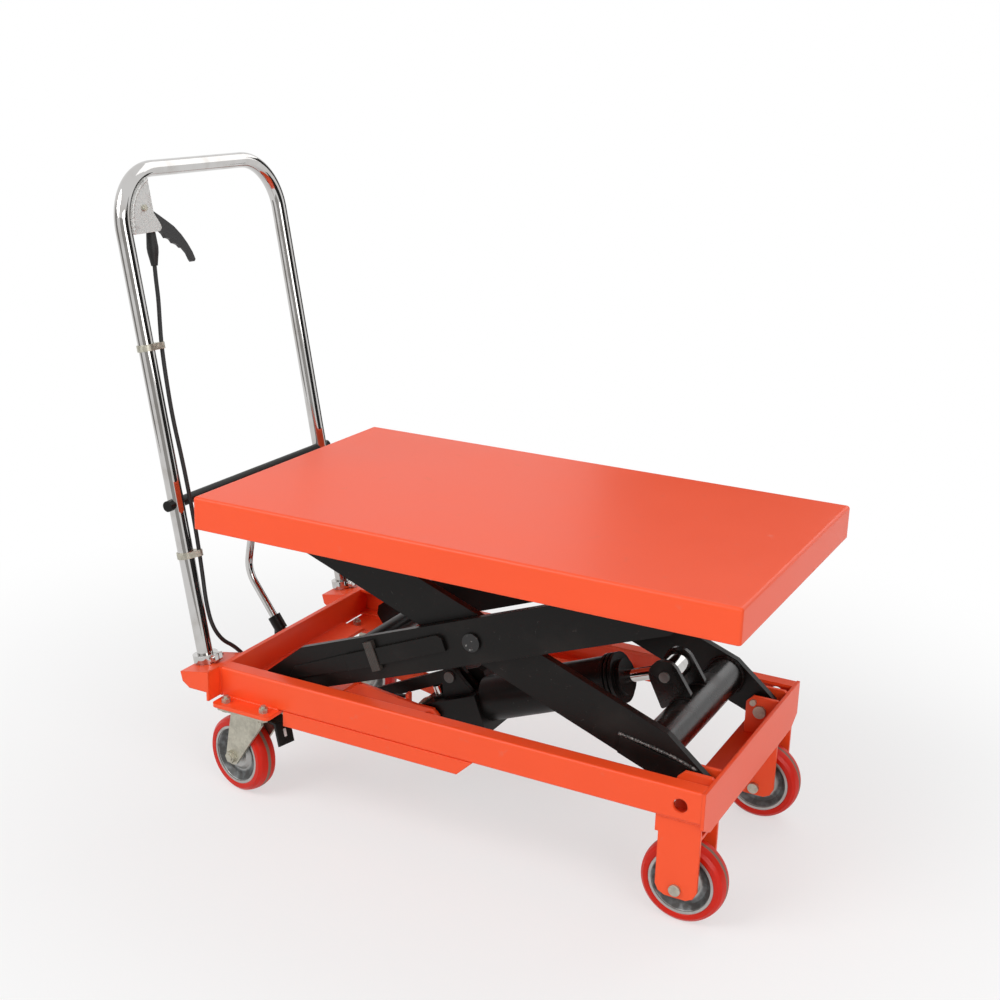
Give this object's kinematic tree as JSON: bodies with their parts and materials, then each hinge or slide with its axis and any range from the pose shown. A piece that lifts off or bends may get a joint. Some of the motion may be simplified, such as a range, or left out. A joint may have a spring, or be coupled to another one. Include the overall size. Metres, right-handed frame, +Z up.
{
  "type": "scissor lift table",
  "caption": "Manual hydraulic scissor lift table on casters, with a foot pump, a tubular push handle, a hand release lever with its cable, and braked swivel casters.",
  "frame": {"origin": "centre of the overall box in plan, on the floor", "axes": "+X along the table from the push handle towards the fixed casters, +Y across to the side away from the release lever, +Z up"},
  "size_m": [1.04, 0.5, 0.9765],
  "materials": {
    "orange_paint": "satin powder coat",
    "black_paint": "satin",
    "chrome": "polished",
    "zinc": "satin zinc plate",
    "bracket_grey": "matt zinc plate",
    "rim_steel": "satin",
    "red_tyre": "satin red polyurethane",
    "black_plastic": "matt",
    "black_rubber": "matt",
    "strap": "matt"
  },
  "bodies": {
    "base": {"side_rail_near": "orange_paint", "side_rail_far": "orange_paint", "front_member": "orange_paint", "rear_member": "orange_paint", "rail_stiffeners": "orange_paint", "caster_plates": "orange_paint", "swivel_plates": "zinc", "caster_bolts": "zinc", "handle_sockets": "orange_paint", "handle_tube": "chrome", "handle_collars": "chrome", "handle_cross_bar": "black_paint", "lever_bracket": "bracket_grey", "cable_boot": "black_rubber", "release_cable": "black_rubber", "cable_clips": "zinc", "base_pins": "zinc", "fixed_forks": "orange_paint", "pivot_ears": "orange_paint", "pump_mount": "orange_paint"},
    "release_lever": {"release_lever": "black_plastic"},
    "fixed_wheel_near": {"fixed_hub_near": "rim_steel", "fixed_tyre_near": "red_tyre"},
    "fixed_wheel_far": {"fixed_hub_far": "rim_steel", "fixed_tyre_far": "red_tyre"},
    "swivel_near": {"swivel_fork_near": "zinc"},
    "swivel_wheel_near": {"swivel_hub_near": "rim_steel", "swivel_tyre_near": "red_tyre"},
    "brake_near": {"brake_pedal_near": "black_paint"},
    "base_roller_near": {"base_roller_near": "zinc"},
    "table_roller_near": {"table_roller_near": "zinc"},
    "swivel_far": {"swivel_fork_far": "zinc"},
    "swivel_wheel_far": {"swivel_hub_far": "rim_steel", "swivel_tyre_far": "red_tyre"},
    "brake_far": {"brake_pedal_far": "black_paint"},
    "base_roller_far": {"base_roller_far": "zinc"},
    "table_roller_far": {"table_roller_far": "zinc"},
    "inner_arms": {"inner_arm_near": "black_paint", "inner_arm_far": "black_paint", "torsion_tube": "black_paint", "arm_pins": "zinc"},
    "outer_arms": {"outer_arm_near": "black_paint", "outer_arm_far": "black_paint", "outer_cross_tube": "black_paint", "prop_bar": "black_paint", "prop_strap": "strap"},
    "table": {"table_top": "orange_paint", "table_mounts": "orange_paint", "table_pins": "zinc"},
    "rod": {"piston_rod": "chrome"},
    "pump": {"pump_block": "black_paint", "fulcrum_pin": "zinc", "oil_tank": "black_paint", "cylinder_barrel": "black_paint", "cylinder_gland": "black_paint"},
    "pedal": {"pedal_lever": "black_paint", "pedal_rod": "chrome", "pedal_pad": "black_rubber"},
    "plunger": {"pump_plunger": "chrome"},
    "valve": {"valve_arm": "zinc"}
  },
  "joints": [
    {"name": "lift", "type": "hinge", "parent": "base", "child": "inner_arms", "pos_m": [0.4435, 0, 0.194], "axis": [0, 1, 0], "range_deg": [-13.2, 43]},
    {"name": "arms_cross", "type": "hinge", "parent": "inner_arms", "child": "outer_arms", "pos_m": [0.09765, 0, 0.339], "axis": [0, 1, 0], "range_deg": [-86.2, 26.6]},
    {"name": "table_level", "type": "hinge", "parent": "outer_arms", "child": "table", "pos_m": [0.4435, 0, 0.484], "axis": [0, 1, 0], "range_deg": [-13.4, 43.2]},
    {"name": "rod_swing", "type": "hinge", "parent": "inner_arms", "child": "rod", "pos_m": [0.3439, 0, 0.29], "axis": [0, 1, 0], "range_deg": [-45.2, 14]},
    {"name": "pump_slide", "type": "slide", "parent": "rod", "child": "pump", "axis": [-0.9298, 0, -0.3681], "range_m": [-0.0312, 0.099]},
    {"name": "pedal_press", "type": "hinge", "parent": "pump", "child": "pedal", "pos_m": [-0.01666, -0.012, 0.20318], "axis": [0, -1, 0], "range_deg": [0, 9], "stiffness_Nm_per_rad": 20, "springref_deg": -17.19},
    {"name": "plunger_slide", "type": "slide", "parent": "pump", "child": "plunger", "axis": [0.3681, 0, -0.9298], "range_m": [0, 0.0088]},
    {"name": "release", "type": "hinge", "parent": "base", "child": "release_lever", "pos_m": [-0.4967, -0.153, 0.9076], "axis": [0.982, 0, 0.1888], "range_deg": [0, 25], "stiffness_Nm_per_rad": 0.5, "springref_deg": -11.46},
    {"name": "valve_turn", "type": "hinge", "parent": "pump", "child": "valve", "pos_m": [-0.05974, -0.021, 0.1517], "axis": [0.3681, 0, -0.9298], "range_deg": [0, 20.5]},
    {"name": "swivel_near", "type": "hinge", "parent": "base", "child": "swivel_near", "pos_m": [-0.2655, -0.186, 0.14], "axis": [0, 0, 1], "continuous": true},
    {"name": "swivel_wheel_spin_near", "type": "hinge", "parent": "swivel_near", "child": "swivel_wheel_near", "pos_m": [-0.3095, -0.1766, 0.0625], "axis": [-0.2079, -0.9781, 0], "continuous": true},
    {"name": "brake_near", "type": "hinge", "parent": "swivel_near", "child": "brake_near", "pos_m": [-0.2469, -0.18995, 0.1455], "axis": [0.2079, 0.9781, 0], "range_deg": [0, 15]},
    {"name": "fixed_wheel_spin_near", "type": "hinge", "parent": "base", "child": "fixed_wheel_near", "pos_m": [0.4425, -0.1685, 0.0625], "axis": [0, 1, 0], "continuous": true},
    {"name": "base_roller_spin_near", "type": "hinge", "parent": "outer_arms", "child": "base_roller_near", "pos_m": [-0.2482, -0.196, 0.194], "axis": [0, 1, 0], "continuous": true},
    {"name": "table_roller_spin_near", "type": "hinge", "parent": "inner_arms", "child": "table_roller_near", "pos_m": [-0.2482, -0.12725, 0.484], "axis": [0, 1, 0], "continuous": true},
    {"name": "swivel_far", "type": "hinge", "parent": "base", "child": "swivel_far", "pos_m": [-0.2655, 0.186, 0.14], "axis": [0, 0, 1], "continuous": true},
    {"name": "swivel_wheel_spin_far", "type": "hinge", "parent": "swivel_far", "child": "swivel_wheel_far", "pos_m": [-0.3095, 0.1766, 0.0625], "axis": [0.2079, -0.9781, 0], "continuous": true},
    {"name": "brake_far", "type": "hinge", "parent": "swivel_far", "child": "brake_far", "pos_m": [-0.2469, 0.18995, 0.1455], "axis": [-0.2079, 0.9781, 0], "range_deg": [0, 15]},
    {"name": "fixed_wheel_spin_far", "type": "hinge", "parent": "base", "child": "fixed_wheel_far", "pos_m": [0.4425, 0.1685, 0.0625], "axis": [0, 1, 0], "continuous": true},
    {"name": "base_roller_spin_far", "type": "hinge", "parent": "outer_arms", "child": "base_roller_far", "pos_m": [-0.2482, 0.196, 0.194], "axis": [0, 1, 0], "continuous": true},
    {"name": "table_roller_spin_far", "type": "hinge", "parent": "inner_arms", "child": "table_roller_far", "pos_m": [-0.2482, 0.12725, 0.484], "axis": [0, 1, 0], "continuous": true}
  ],
  "couplings": [
    {"joint": "arms_cross", "follows": "lift", "ratio": -2},
    {"joint": "table_level", "follows": "lift", "ratio": 1},
    {"joint": "rod_swing", "follows": "lift", "ratio": -1.045},
    {"joint": "pump_slide", "follows": "lift", "m_per_rad": 0.13},
    {"joint": "plunger_slide", "follows": "pedal_press", "m_per_rad": 0.05},
    {"joint": "valve_turn", "follows": "release", "ratio": 0.8}
  ]
}
